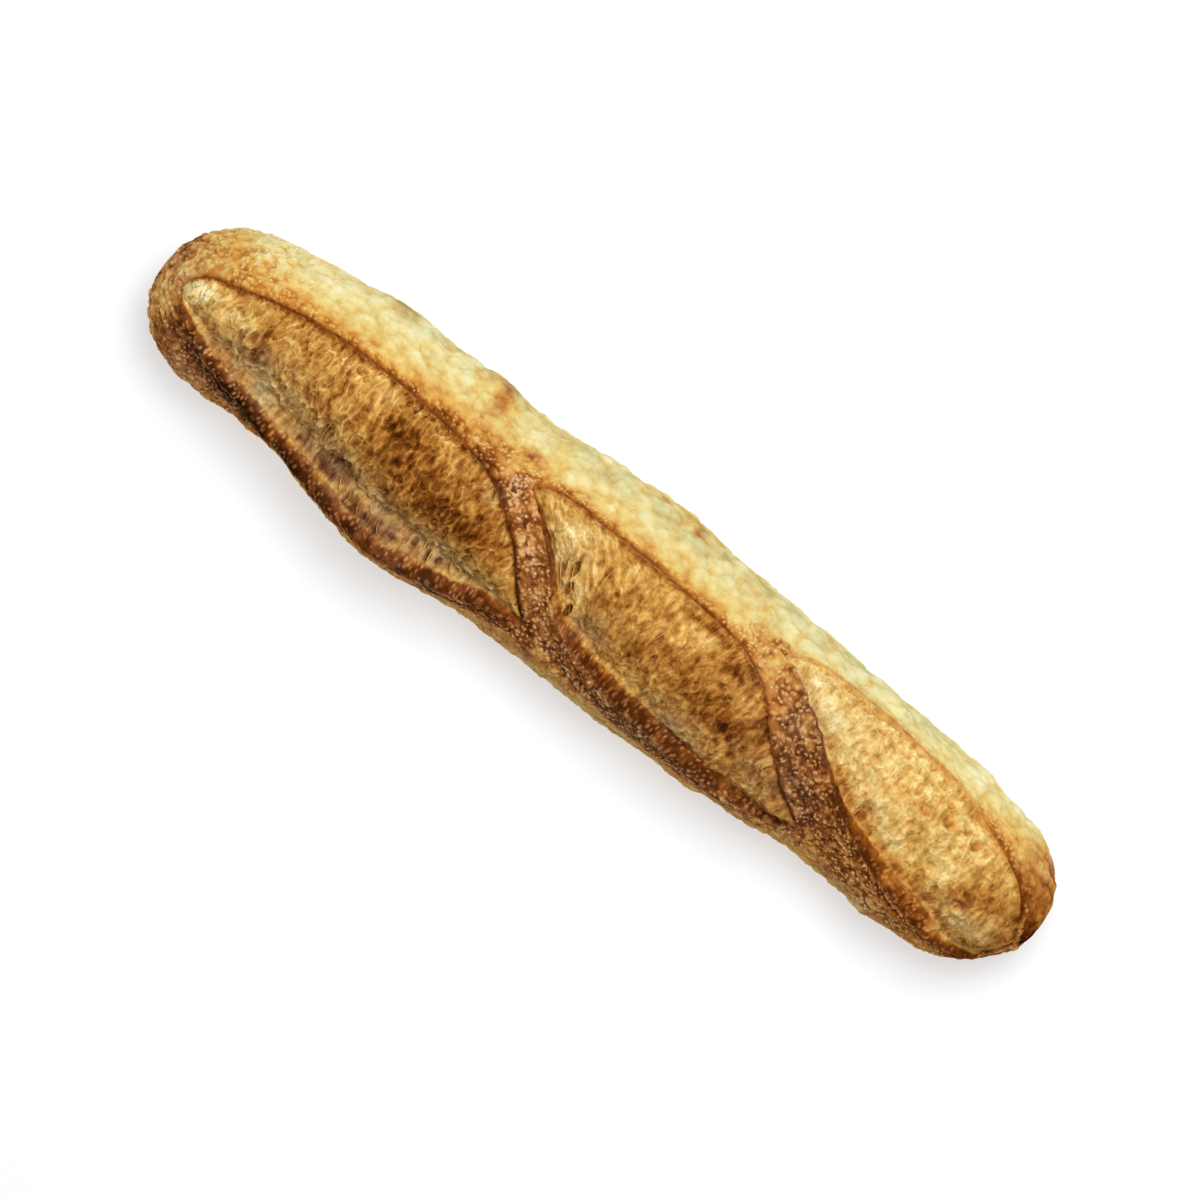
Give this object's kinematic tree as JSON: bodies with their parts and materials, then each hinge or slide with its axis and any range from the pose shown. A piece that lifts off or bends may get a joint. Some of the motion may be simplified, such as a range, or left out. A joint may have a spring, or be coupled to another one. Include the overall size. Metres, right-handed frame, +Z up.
{
  "type": "baguette",
  "caption": "Crusty half-length baguette lying on its flat base, slashed along its top, with torn-open crumb and raised ears of crust.",
  "frame": {"origin": "centre of the loaf's bounding box in plan, on its flat base", "axes": "+X along the loaf, +Y across it towards the pale side above the slashes' far lips, +Z up from the base"},
  "size_m": [0.32, 0.067, 0.0483],
  "materials": {
    "crust": "baked bread crust: dry, golden to dark brown, blistered and lightly floured, with a matt torn crumb"
  },
  "bodies": {
    "root": {"loaf": "crust"}
  },
  "joints": []
}
